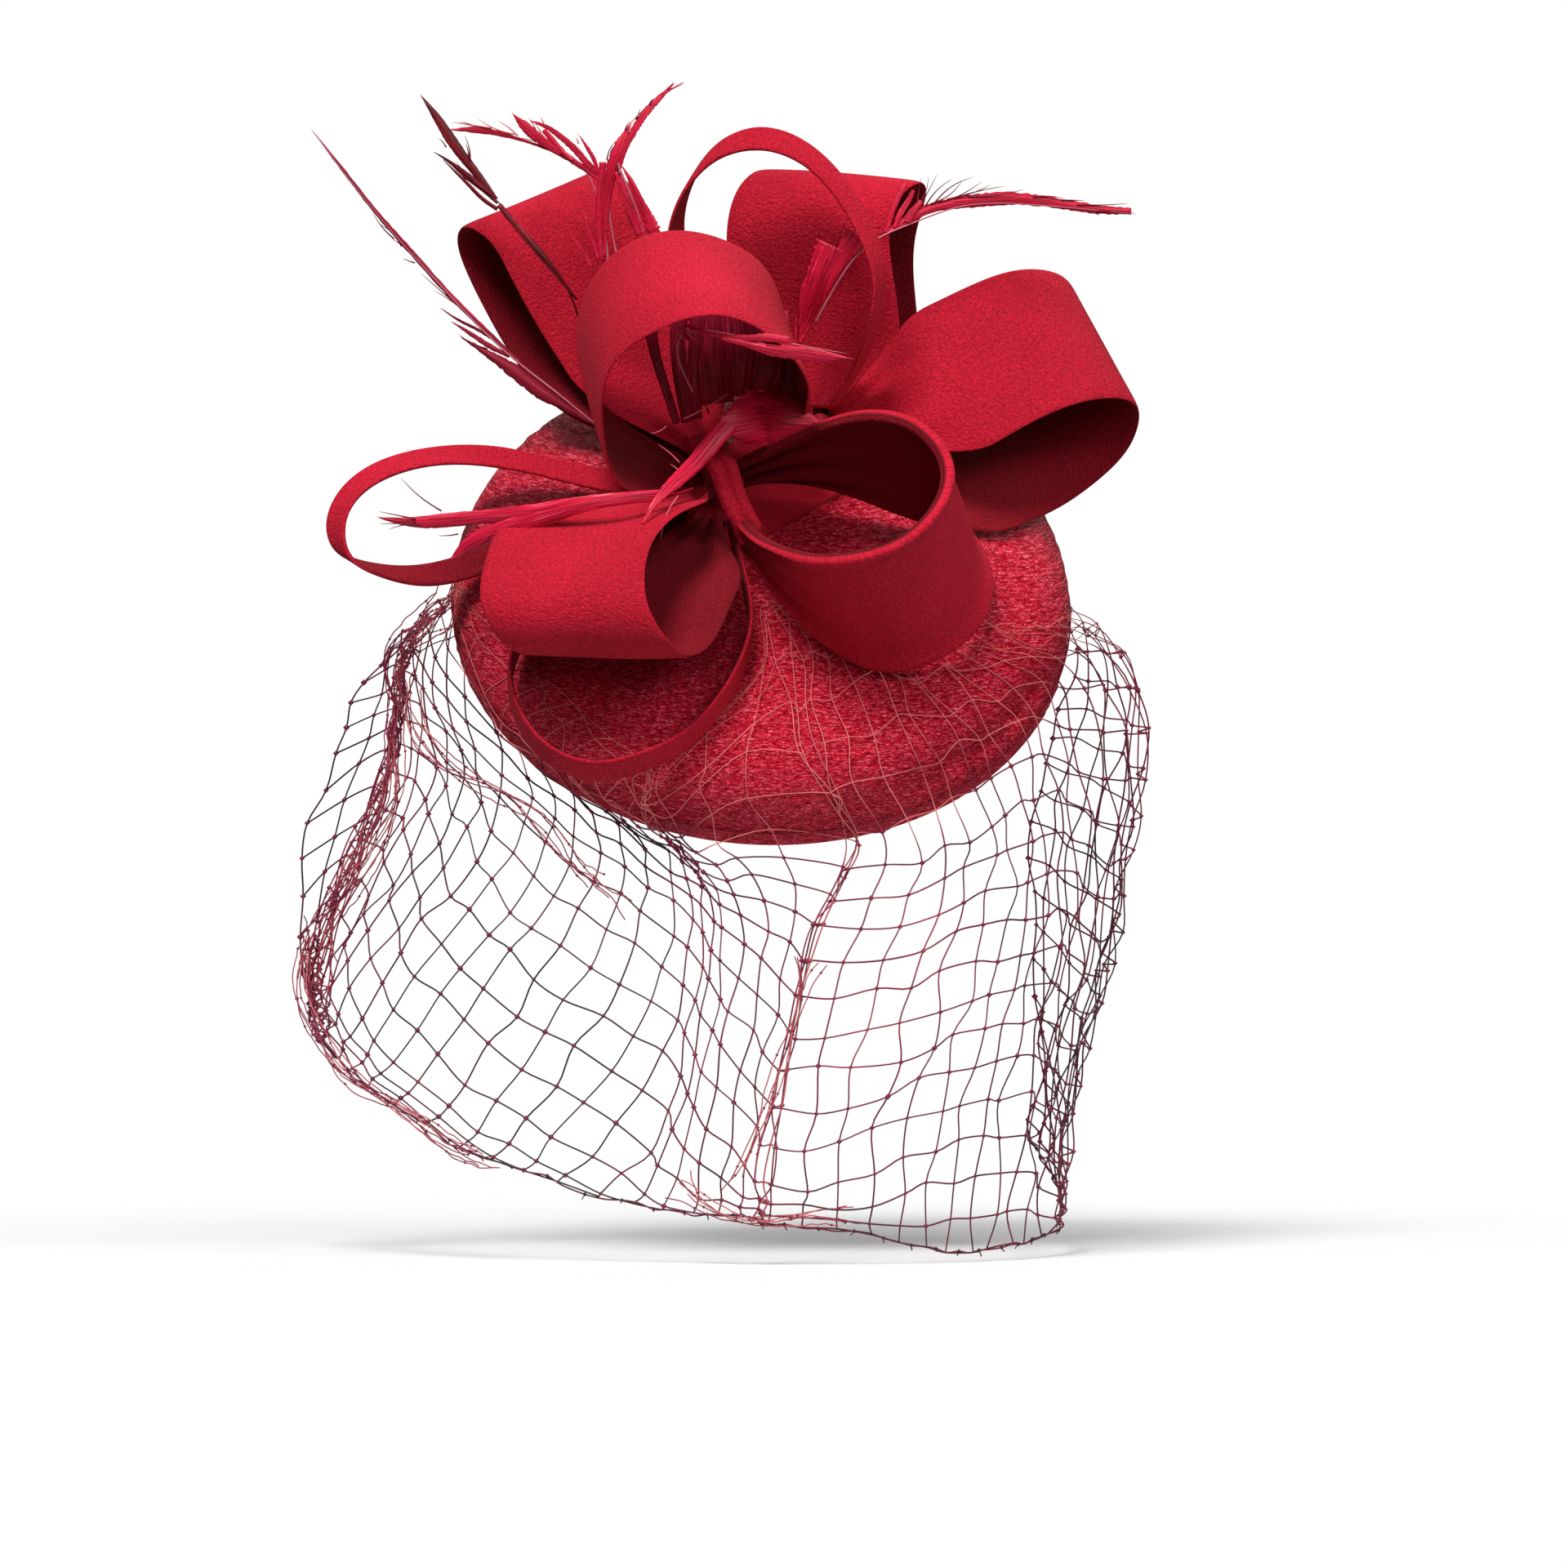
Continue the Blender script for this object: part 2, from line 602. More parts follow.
def on_cover(x, z):
    """Depth of the front of the cover behind a point of the front view."""
    hit = cover_tree.ray_cast(Vector((x, FAR_IN_FRONT, z)), Vector((0, 1, 0)))[0]
    return None if hit is None else hit.y


make_stiffener()
make_lining()
make_band()
felt_block("bow_pad_felt", "trim_pad")
felt_block("clip_pad_felt", "clip_felt")

# ---- ribbon loops ----------------------------------------------------------------
# Each loop: the middle line of its ribbon (x, y, z in mm), the way its width runs at even steps along
# it, how far it takes to fan out from the gather, how much is cut off each end of the line and, where its
# edges are padded, how thick their lip is.
LOOPS = {
    "loop_centre": dict(
        line=[(-14, -22, 42), (-31, -27, 47), (-48, -25, 55), (-56, -33, 76), (-48, -50, 99),
              (-23, -64, 110), (3, -50, 101), (12, -29, 82), (15, -6, 62)],
        across=[(9, -46, -30)], fan=45, ends=(5, 5)),
    "loop_back_left": dict(
        line=[(-14, -11, 51), (-26, 1, 66), (-38, 9, 87), (-60, 10, 123), (-68, 12, 135), (-76, 18, 139),
              (-78, 25, 135), (-75, 29, 125), (-62, 26, 99), (-42, 14, 75), (-20, -6, 48)],
        across=[(-43, -8, -12), (-43, -25, -20), (-43, -22, -20)], fan=50, ends=(4, 4)),
    "loop_back_right": dict(
        line=[(19, 8, 64), (19, 6, 98), (16, 2, 130), (20, 4, 141), (26, 10, 146), (28, 19, 143),
              (25, 28, 130), (25, 30, 105), (25, 25, 82), (23, 17, 65)],
        across=[(51, -14, -4)], fan=34, ends=(4, 3)),
    "loop_right": dict(
        line=[(22, 2, 62), (52, -9, 72), (89, -5, 90), (104, 4, 93), (114, 15, 89), (112, 22, 78),
              (100, 21, 66), (70, 3, 49), (48, -3, 46), (26, 0, 56)],
        across=[(20, -16, -42), (22, -28, -42), (22, -28, -42)], fan=50, ends=(4, 4)),
    "loop_front_right": dict(
        line=[(-10, -22, 44), (4, -28, 48), (23, -32, 50), (43, -36, 48), (58, -40, 43), (67, -51, 28),
              (61, -65, 12), (50, -73, 3), (35, -76, -1), (10, -63, 9), (-7, -38, 30)],
        across=[(15, 40, -36)], fan=72, ends=(4, 5), lip=3.3),
    "loop_front_left": dict(
        line=[(-17, -26, 40), (-35, -44, 36), (-55, -66, 30), (-63, -86, 14), (-62, -96, -1),
              (-55, -94, -12), (-48, -84, -15), (-41, -72, -10), (-36, -62, 2), (-23, -38, 24),
              (-15, -27, 34)],
        across=[(53, -18, 0)], fan=45, ends=(4, 4)),
    "loop_left_narrow": dict(
        line=[(-17, -18, 42), (-52, -15, 44), (-84, -14, 51), (-102, -16, 52), (-119, -20, 49),
              (-133, -24, 41), (-139, -28, 30), (-137, -31, 20), (-126, -33, 14), (-111, -34, 12),
              (-79, -32, 22), (-57, -27, 30), (-18, -19, 37)],
        across=[(2, -6, -8), (2, -7, -8), (7, -8, -2), (1, -4, -9), (0, -6, -9)], fan=12, ends=(4, 4)),
    "loop_top_narrow": dict(
        line=[(12, 4, 67), (-10, -4, 86), (-25, -10, 109), (-28, -14, 126), (-23, -18, 142),
              (-14, -20, 152), (0, -21, 156), (16, -23, 150), (28, -26, 137), (36, -28, 122),
              (39, -28, 110), (37, -24, 95), (30, -10, 79), (22, -2, 66)],
        across=[(-8, -4, 0), (-2, -6, -8), (-5, -8, -2)], fan=12, ends=(3, 3)),
    "loop_front_narrow": dict(
        line=[(-11, -28, 33), (-5, -45, 9), (-3, -56, -6), (-7, -66, -20), (-15, -75, -33), (-27, -83, -44),
              (-41, -87, -50), (-52, -86, -52), (-64, -84, -49), (-73, -78, -42), (-79, -71, -32),
              (-81, -64, -20), (-76, -56, -6), (-62, -46, 10), (-43, -36, 22), (-20, -26, 33)],
        across=[(0, 7, -6)], fan=12, ends=(4, 4)),
}
# A ribbon's section: points on each face, how they crowd to its edges and how squarely it ends there.
SECTION_POINTS = 22
CROWDING = 0.8
SQUARENESS = 14
# The step between sections, the reach of a padded edge and the least half thickness, in mm.
SECTION_STEP = 1.5
RIM_REACH = 3.2
LEAST_HALF = 0.12
# What makes a ribbon uneven: how many waves, their height and its cupping in mm, and the sway of its edges
# as a share of its width.
SWAY_WAVES = 5
SWAY = 0.22
CUPPING = 0.9
EDGE_SWAY = 0.012


def across_at(keys, share):
    keys = unit(np.array(keys, float))
    return unit(at_places(share * (len(keys) - 1), keys))


def ribbon_strip(pile, line, across, width, thick, fan, ends, pinch, gather, seed, lip=0.0, pleats=3):
    """A pressed tube of ribbon with soft edges, pleated where it is gathered."""
    dice = np.random.default_rng(seed)
    count = max(40, int(curve(line, 3)[1] / SECTION_STEP))
    middle, total = curve(line, count)
    along = np.linspace(0, total, count)
    keep = (along >= ends[0]) & (along <= total - ends[1])
    middle, along = middle[keep], along[keep]
    run = unit(np.gradient(middle, axis=0))
    wide = across_at(across, along / total)
    out = unit(np.cross(run, wide))
    opened = smooth(np.minimum(along, total - along) / fan)
    size = width * (pinch + (1 - pinch) * opened)
    a = np.cos(np.linspace(math.pi, 0, SECTION_POINTS))
    a = np.sign(a) * np.abs(a) ** CROWDING
    body = np.sqrt(np.clip(1 - np.abs(a) ** SQUARENESS, 0, 1))
    rim = lip * np.exp(-((1 - np.abs(a)) * width / 2 / RIM_REACH) ** 2)
    pleat = np.sin(a[None, :] * math.pi * pleats + dice.uniform(0, 6)) * ((1 - opened) * gather)[:, None]
    sway = np.zeros((len(along), SECTION_POINTS))
    for _ in range(SWAY_WAVES):
        waves = along[:, None] * dice.uniform(0.03, 0.16) + a[None, :] * dice.uniform(0.5, 2.5)
        sway += SWAY * np.sin(waves + dice.uniform(0, 6))
    cup = CUPPING * (a[None, :] ** 2 - 0.4) * np.sin(along[:, None] / total * 5 + dice.uniform(0, 6))
    shift = pleat + (sway + cup) * min(1.0, width / 40) * opened[:, None]
    edge_sway = 1 + EDGE_SWAY * np.sin(along * dice.uniform(0.06, 0.14) + dice.uniform(0, 6)) * opened
    flat = middle[:, None] + wide[:, None] * (a[None, :, None] * (size * edge_sway / 2)[:, None, None])
    half = np.maximum(((thick / 2 + rim) * body)[None, :] * (0.75 + 0.25 * opened)[:, None], LEAST_HALF)
    top = flat + out[:, None] * (shift + half)[..., None]
    low = flat + out[:, None] * (shift - half)[..., None]
    section = np.concatenate([top, low[:, ::-1]], 1)
    rows, cols = section.shape[:2]
    uv = np.empty((rows, cols, 2))
    uv[..., 0] = np.concatenate([a, a[::-1]]) * width / 20
    uv[..., 1] = (along / 10)[:, None]
    top_is_inside = ((middle.mean(axis=0) - middle) * out).sum(axis=1).mean() > 0
    inner_half = slice(1, SECTION_POINTS - 1) if top_is_inside else slice(SECTION_POINTS + 1, -1)
    uv[:, inner_half, 0] += REVERSE_SHIFT
    pile.add(section.reshape(-1, 3), capped_faces(rows, cols), uv.reshape(-1, 2))
    inside = 1 if top_is_inside else -1
    return dict(middle=middle, along=along, wide=wide, out=out, total=total, inside=inside)


def make_loops():
    shapes = {}
    for seed, (name, loop) in enumerate(LOOPS.items()):
        size = dict(width=NARROW_RIBBON, pinch=0.6, gather=0.4) if "narrow" in name else dict(
            width=WIDE_RIBBON, pinch=0.2, gather=2.2)
        pile = Pile()
        shapes[name] = ribbon_strip(pile, thick=1.5, seed=seed, **size, **loop)
        pile.make(name + "_ribbon", RIBBON, stands_for=[name], slot="ribbon")
    return shapes


def make_knot_wrap():
    pile = Pile()
    line = [(-23, -14, 56), (-21, -25, 57), (-17, -35, 54), (-12, -42, 47), (-9, -46, 38), (-5, -47, 30),
            (-1, -44, 23)]
    ribbon_strip(pile, line, across=[(7, 7, 3), (9, 3, 3), (9, 4, 4)], width=12, thick=1.3, fan=70,
                 ends=(2, 2), pinch=0.75, seed=31, pleats=2, gather=0.9)
    pile.make("knot_wrap_ribbon", RIBBON, stands_for=["knot_wrap"], slot="ribbon")


def make_seam(shape, start, stop, offset, side):
    """A line of running stitches along a ribbon, from and to a share of it, offset across it in mm."""
    pitch, length, radius = 3.1, 1.7, 0.16
    pile = Pile()
    for at in np.arange(shape["total"] * start, shape["total"] * stop, pitch):
        k = int(np.searchsorted(shape["along"], at))
        m = min(k + 1, len(shape["along"]) - 1)
        base = shape["middle"][k] + shape["wide"][k] * offset + shape["out"][k] * side
        reach = unit(shape["middle"][m] - shape["middle"][k]) * length / 2
        tube(pile, [base - reach, base + shape["out"][k] * side * 0.15, base + reach], radius)
    pile.make("loop_right_seam", SEAM_THREAD, slot="thread")


def binding(name, node, seed):
    """Thread wound round the gathered ends."""
    low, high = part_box(node)
    middle = (np.array(low) + np.array(high)) / 2 / MM
    height = (high[2] - low[2]) / MM * 1.1
    turns, thread, core = 9, 0.42, 1.9
    step = np.linspace(0, 1, turns * 14)
    angle = step * turns * 2 * math.pi
    spread = 2.2 + 0.3 * np.sin(step * 40 + seed)
    local = np.stack([spread * np.cos(angle), spread * np.sin(angle), (step - 0.5) * height], -1)
    pile = Pile()
    tube(pile, middle + to_world(local), thread)
    tube(pile, [middle - AXIS * height / 2, middle + AXIS * height / 2], core, sides=10)
    pile.make(name, THREAD, stands_for=[node], slot="thread")


right_loop = make_loops()["loop_right"]
make_knot_wrap()
make_seam(right_loop, 0.54, 0.82, offset=-17.0, side=right_loop["inside"] * 0.95)
binding("front_binding_windings", "front_binding_thread", 0)
binding("back_binding_windings", "back_binding_thread", 2)

# ---- feathers ----------------------------------------------------------------------
# Each feather: its quill (x, y, z in mm); the closed blades of its vane, each a run of (x, z, half
# width) from root to tip as seen from the front; single barbs (x, z of root, x, z of tip).
FEATHERS = {
    "feather_long_left": dict(
        quill=[(-46, -5, 57), (-54, -1, 62.5), (-67, 0, 73), (-81, 0, 84), (-107, 2, 110), (-129, 4, 135),
               (-149, 6, 161)],
        blades=[
            [(-79.5, 83, 0.6), (-92, 95, 0.9), (-104.5, 107.5, 0.9), (-116, 120.5, 1), (-127.5, 133.5, 0.8),
             (-138.5, 147.5, 0.7), (-149, 161, 0.1)],
            [(-55, 63, 0.6), (-64, 68.5, 1.8), (-73, 74, 2.6), (-81.5, 80.5, 2.6), (-90.5, 86.5, 1.3),
             (-99.5, 92, 0.1)],
            [(-83, 85.5, 0.7), (-90, 89, 1), (-96, 93, 0.8), (-102.5, 97, 0.1)],
            [(-88.5, 91, 0.5), (-94, 94.5, 0.6), (-100, 97.5, 0.5), (-106, 101.5, 0.1)]],
        barbs=[(-97.5, 100, -112.5, 113), (-93.5, 95.5, -108.5, 107.5), (-114.5, 116.5, -118.5, 118),
               (-117, 120.5, -122, 124.5), (-119, 122, -126.5, 129.5), (-121.5, 124.5, -128.5, 133),
               (-90.5, 88, -100, 93)]),
    "feather_dark_left": dict(
        quill=[(-60, -9, 98), (-64, -14, 108), (-86, -17, 135), (-112, -12, 171)],
        blades=[
            [(-87, 136.5, 0.6), (-92, 143, 1.2), (-97.5, 150, 1.6), (-102.5, 157, 1.8), (-107, 164, 1.3),
             (-112, 171, 0.1)],
            [(-86.5, 135, 0.5), (-91.5, 140, 1.1), (-96.5, 144, 1.2), (-102, 148.5, 0.6),
             (-107.5, 152, 0.1)],
            [(-86.5, 133, 0.7), (-91.5, 136.5, 0.7), (-96, 141, 0.6), (-100.5, 145.5, 0.4),
             (-104.5, 149.5, 0.1)],
            [(-86, 134.5, 0.9), (-77.5, 124, 1.1), (-69, 114, 0.9), (-60.5, 103.5, 0.4)]],
        barbs=[(-95.5, 149, -97.5, 157.5), (-96, 150, -97, 154.5), (-103.5, 153.5, -106, 156.5),
               (-86.5, 136.5, -100.5, 149)]),
    "feather_top_left": dict(
        quill=[(-50, -7, 112), (-53, -9, 135), (-60, -10, 149), (-80, -12, 157), (-102, -12, 160)],
        blades=[
            [(-53.5, 143.5, 0.6), (-60.5, 148.5, 1.1), (-68, 152.5, 0.7), (-76.5, 155.5, 0.5),
             (-85, 158, 0.9), (-93.5, 159.5, 1.4), (-102, 159.5, 0.2)],
            [(-53, 144.5, 0.9), (-57, 148.5, 1.2), (-61, 153, 1.2), (-65.5, 157, 1.1), (-70.5, 160.5, 0.8),
             (-76, 162.5, 0.2)],
            [(-62, 149.5, 0.6), (-65.5, 152.5, 1.1), (-68.5, 156, 1.1), (-71.5, 159.5, 0.9)],
            [(-66, 151.5, 0.8), (-70, 154.5, 1.4), (-74, 157.5, 2), (-78, 161, 1.7), (-81.5, 164.5, 0.1)],
            [(-53.5, 145.5, 0.6), (-55, 150, 0.8), (-57, 153.5, 0.7), (-59.5, 157.5, 0.1)],
            [(-52, 116.5, 0.7), (-53, 124.5, 1.1), (-53, 132.5, 1.6), (-52.5, 141, 1.8), (-52, 149, 1.2)],
            [(-53.5, 117, 0.8), (-55, 122, 1), (-57, 127.5, 0.9), (-58.5, 133, 0.1)],
            [(-56, 114.5, 0.8), (-58.5, 119.5, 0.6), (-61.5, 123.5, 0.5), (-64, 128.5, 0.1)]],
        barbs=[(-78, 161, -82, 165), (-80, 157.5, -86.5, 162.5), (-81, 158, -93, 163),
               (-88.5, 160, -102, 162), (-95, 161, -99.5, 162), (-71, 161, -72.5, 164),
               (-73, 156.5, -76.5, 163.5), (-71.5, 156, -74.5, 162), (-60, 155, -61, 157)]),
    "feather_upright": dict(
        quill=[(-46, -13, 112), (-50, -15, 135), (-49, -17, 150), (-43, -17, 161), (-26, -15, 175)],
        blades=[
            [(-51.5, 117.5, 0.5), (-51, 127, 0.6), (-50.5, 136, 1.3), (-49, 145, 2.4), (-46, 154, 2.3),
             (-42.5, 161.5, 0.1)],
            [(-46.5, 146.5, 0.8), (-44.5, 153, 1), (-41.5, 159, 1.3), (-38, 164.5, 1.4), (-33, 170, 1),
             (-28.5, 174.5, 0.2)],
            [(-32.5, 170.5, 0.5), (-29.5, 172.5, 0.3), (-25.5, 174.5, 0.1)]],
        barbs=[(-41, 162.5, -39.5, 166), (-36.5, 167.5, -35, 169.5), (-44.5, 159, -42.5, 162),
               (-50.5, 149, -47.5, 155.5), (-30.5, 172.5, -28.5, 175)]),
    "feather_short_left": dict(
        quill=[(-47, -20, 148), (-42, -19, 136), (-38, -17, 124), (-36, -15, 112)],
        blades=[
            [(-47, 145, 1.1), (-45.5, 140, 1.3), (-43.5, 135, 1.6), (-41.5, 129.5, 1.8),
             (-39.5, 124.5, 1.6)],
            [(-45.5, 147, 0.2), (-42.5, 142, 0.9), (-40, 136.5, 1.3), (-37.5, 131.5, 1.7),
             (-35, 126, 2.5)]],
        barbs=[(-46, 144, -47, 148.5), (-44, 132, -42.5, 127)]),
    "feather_right": dict(
        quill=[(18, -8, 96), (23, -12, 105), (35, -15, 121), (51, -14, 129), (65, -12, 134), (89, -10, 135),
               (124, -8, 132)],
        blades=[
            [(40.5, 124.5, 0.6), (49.5, 130.5, 1.7), (59, 134.5, 1.8), (69.5, 136, 2.3), (80, 137, 2.4),
             (91, 136.5, 2), (101.5, 135, 1.8), (112, 133.5, 1.6), (122.5, 133, 1.2)],
            [(41.5, 125.5, 0.8), (43, 131, 1.1), (45, 136.5, 1.1), (48, 141.5, 0.9)],
            [(44.5, 127, 1), (46, 131.5, 1.1), (48.5, 135.5, 1), (50.5, 139.5, 0.7)],
            [(48.5, 129, 1.5), (49.5, 131.5, 1.3), (51.5, 134, 1.1), (53, 136, 1.1)],
            [(11, 85.5, 0.5), (13.5, 94.5, 2.3), (16.5, 103.5, 3.7), (20, 112, 5), (24, 121, 6)],
            [(13, 89, 0.5), (17.5, 98, 0.3), (22, 107.5, 1), (26.5, 116.5, 2.5), (32, 125, 4.9)]],
        barbs=[(52, 134.5, 55.5, 144), (51.5, 134.5, 53, 143.5), (53, 134.5, 58.5, 145),
               (54.5, 134.5, 63.5, 143.5), (56, 135, 66.5, 142.5), (57.5, 135.5, 70, 144),
               (59, 135.5, 73, 142.5), (61.5, 136.5, 76, 141.5), (64, 137, 80.5, 141),
               (68.5, 137.5, 87, 140), (90, 137.5, 100.5, 137), (99.5, 136.5, 107, 136.5),
               (104.5, 135, 121.5, 135.5), (108, 133, 112, 131.5), (111, 133, 123.5, 132.5),
               (15, 95, 19.5, 129.5), (12.5, 88.5, 12.5, 115), (22.5, 107, 25.5, 126.5),
               (25, 111, 29, 130.5), (16.5, 96.5, 18, 116.5)]),
    "feather_front": dict(
        quill=[(-22, -40, 72), (-26, -66, 88), (-18, -78, 90), (-3, -82, 87), (9, -83, 83), (28, -80, 81)],
        blades=[
            [(-24, 92, 0.6), (-17.5, 89.5, 0.7), (-11, 88, 0.9), (-4, 87.5, 1), (3, 87.5, 1.6),
             (9.5, 86.5, 1.3)],
            [(-12.5, 87.5, 0.6), (-4.5, 85.5, 1), (3.5, 83.5, 2), (12, 82.5, 2.4), (20, 81.5, 1.8),
             (28.5, 81, 0.2)],
            [(-25.5, 91.5, 1.3), (-24.5, 89.5, 1.6), (-22.5, 87.5, 0.9), (-20, 86, 0.2)]],
        barbs=[(-25, 91.5, -19.5, 85.5), (-26.5, 91.5, -28.5, 84.5), (10.5, 85.5, 28.5, 82.5),
               (15, 84, 30.5, 80.5), (-25, 91, -23.5, 80), (-25.5, 91, -26.5, 78.5)]),
    "feather_curled": dict(
        quill=[(8, -24, 66), (0, -36, 70), (-11, -46, 63), (-17, -52, 55), (-24, -60, 47), (-31, -70, 39),
               (-37, -77, 31)],
        blades=[
            [(19.5, 62.5, 0.4), (13.5, 63, 5.3), (7, 63.5, 8.7), (-0.5, 63.5, 9.7), (-7.5, 62, 6.9),
             (-13, 61.5, 1.6)],
            [(3.5, 66.5, 1.5), (-4.5, 65.5, 2.3), (-11, 60, 3), (-16.5, 53.5, 3), (-22, 47, 2.7),
             (-28, 41, 2.3), (-33.5, 35, 1.2), (-38, 27.5, 0.2)]],
        barbs=[(0, 70, -7, 71), (1.5, 72.5, -5.5, 72.5), (-1, 67, -12, 66), (-1.5, 65.5, -13, 63),
               (-26, 48, -33, 54), (-26.5, 45.5, -29, 47.5), (-26.5, 37, -32, 22.5), (-25, 62.5, -10, 71.5),
               (-30.5, 60, -35.5, 57.5)]),
    "feather_low_left": dict(
        quill=[(-22, -50, 40), (-34, -72, 37), (-50, -76, 36), (-68, -70, 33), (-89, -60, 31),
               (-121, -50, 30)],
        blades=[
            [(-31, 38, 1.2), (-43, 36.5, 1.6), (-54.5, 35, 2.1), (-66.5, 32.5, 3), (-78.5, 31, 3),
             (-90, 30.5, 2.2), (-102, 29.5, 2.4), (-110.5, 29, 2), (-118, 29.5, 1.1), (-124, 30.5, 0.2)],
            [(-31, 36.5, 1.3), (-43, 35.5, 1.4), (-54.5, 34, 1.8), (-66.5, 31, 2.6), (-78.5, 27.5, 3.2),
             (-90.5, 23.5, 2.8), (-96, 20.5, 2), (-100.5, 16.5, 0.3)]],
        barbs=[(-103.5, 32.5, -117, 43.5), (-98, 25, -104.5, 24.5), (-112, 30, -124, 32.5),
               (-112, 29, -125, 31), (-111, 28, -124, 28.5), (-110, 27.5, -121, 26.5),
               (-84.5, 27, -97.5, 17)]),
    "feather_inner": dict(
        quill=[(-17, -14, 66), (-20, -18, 78), (-16, -18, 94)],
        blades=[
            [(-27.5, 62.5, 1.3), (-31, 73.5, 1.5), (-34.5, 85, 1.7), (-36.5, 96, 2.3)],
            [(-24, 63, 1.9), (-26, 75.5, 2.4), (-27, 87.5, 2.7), (-26.5, 100, 2.7)],
            [(-21, 64, 2), (-22, 76.5, 2.3), (-21, 88.5, 2.8), (-20, 101, 3)],
            [(-14.5, 69, 6.2), (-15.5, 80, 5.2), (-15.5, 90.5, 3.5), (-15, 101.5, 2.7)],
            [(-7.5, 71.5, 3.8), (-6, 81.5, 5), (-6.5, 91.5, 6.2), (-7.5, 101.5, 5.3)],
            [(-1.5, 70.5, 6.1), (2.5, 80, 5.5), (2.5, 90, 4.4), (0.5, 100.5, 4.6)],
            [(5, 69, 5.3), (9, 78.5, 3.1), (8, 89, 2.2), (7, 99.5, 2.3)]],
        barbs=[(-16, 95.5, -9.5, 72.5), (-28, 91, -23, 64.5), (-34.5, 82.5, -28, 63)]),
}
SMOOTH_EDGED = ("feather_dark_left", "feather_inner", "feather_curled", "feather_low_left")
PALE_BARBED = ("feather_curled", "feather_front", "feather_inner", "feather_top_left")
FINISHES = {"feather_dark_left": DARK_VANE, "feather_inner": INNER_VANE, "feather_long_left": INNER_VANE}
# How far the vane stands in front of its quill, in mm, where that is not the usual distance.
AHEAD_OF_QUILL = {"feather_long_left": -0.9, "feather_right": -0.5}
USUAL_DISTANCE = 0.3
VANE_POINTS = 7
# Half thickness of a vane, the step from one blade to the next in front of it, and the radii of quills and
# fine barbs at their roots and tips, in mm. BELLY is how far a vane is crowned, as a share of its half width.
HALF_VANE = 0.08
BLADE_STEP = 0.22
QUILL_RADII = (0.40, 0.08)
FINE_BARB_RADII = (0.15, 0.04)
BELLY = 0.25
FRONT = np.array([0, -1.0, 0])


def in_front(quill, x, z, ahead):
    """Point of the front view, ahead of the quill where it passes closest."""
    return x, quill[np.argmin((quill[:, 0] - x) ** 2 + (quill[:, 2] - z) ** 2), 1] - ahead, z


def blade(pile, quill, keys, ahead, dice, smooth_edge):
    """A closed part of the vane: a thin tapering skin, with fine barbs on it that run past its tip."""
    line = [in_front(quill, x, z, ahead) for x, z, half in keys]
    rows = 16 + 6 * len(keys)
    middle, total = curve(line, rows)
    steps = np.linalg.norm(np.diff(np.array(line), axis=0), axis=1)
    places = np.append(0, np.cumsum(steps)) / steps.sum()
    half = np.interp(np.linspace(0, 1, rows), places, [key[2] for key in keys])
    run = unit(np.gradient(middle, axis=0))
    across = unit(np.cross(run, [0, 1, 0]))
    t = np.linspace(-1, 1, VANE_POINTS)
    least = 0.95 if smooth_edge else 0.80
    left, right = dice.uniform(least, 1.05, (rows, 1)), dice.uniform(least, 1.05, (rows, 1))
    spread = half[:, None] * t[None, :] * np.where(t[None, :] < 0, left, right)
    belly = half[:, None] * BELLY * (1 - t[None, :] ** 2)
    skin = middle[:, None] + across[:, None] * spread[..., None]
    face = skin + FRONT * (belly + HALF_VANE)[..., None]
    back = skin + FRONT * (belly - HALF_VANE)[..., None]
    section = np.concatenate([face, back[:, ::-1]], 1)
    along = np.broadcast_to(np.linspace(0, total, rows)[:, None], section.shape[:2])
    uv = np.stack([np.concatenate([spread, spread[:, ::-1]], 1) + dice.uniform(0, 80), along], -1)
    pile.add(section.reshape(-1, 3), capped_faces(rows, 2 * VANE_POINTS), uv.reshape(-1, 2))
    for _ in range(int(3 + half.max()) if smooth_edge else int(5 + 5 * half.max())):
        sideways = dice.uniform(-0.85, 0.85)
        first = int(dice.uniform(0, 0.5) * rows)
        last = int(dice.uniform(0.7, 1.0) * rows) - 1
        piece = slice(first, max(last, first + 4))
        bulge = half * BELLY * (1 - sideways**2) + 0.1
        path = (middle + across * (half * sideways)[:, None] + FRONT * bulge[:, None])[piece]
        away = across[piece][-1] * sideways * dice.uniform(0.1, 0.6)
        away = away + run[piece][-1] * dice.uniform(0.6, 2.2)
        path = np.vstack([path, path[-1] + away * 0.6, path[-1] + away])
        radius = np.linspace(*FINE_BARB_RADII, len(path))
        tube(pile, path, radius, sides=3, uv=np.full(2, dice.uniform(0, 80)))


def single_barb(pile, quill, ends, ahead, dice):
    x0, z0, x1, z1 = ends
    root = np.array(in_front(quill, x0, z0, ahead))
    tip = np.array(in_front(quill, x1, z1, ahead + dice.uniform(-1, 1.5)))
    bend = np.cross(tip - root, [0, 1.0, 0]) * dice.uniform(-0.10, 0.10)
    q = np.linspace(0, 1, 9)[:, None]
    path = root + (tip - root) * q + bend * np.sin(math.pi * q)
    tube(pile, path, 0.24 * (1 - q[:, 0]) ** 0.6 + 0.04, sides=4)


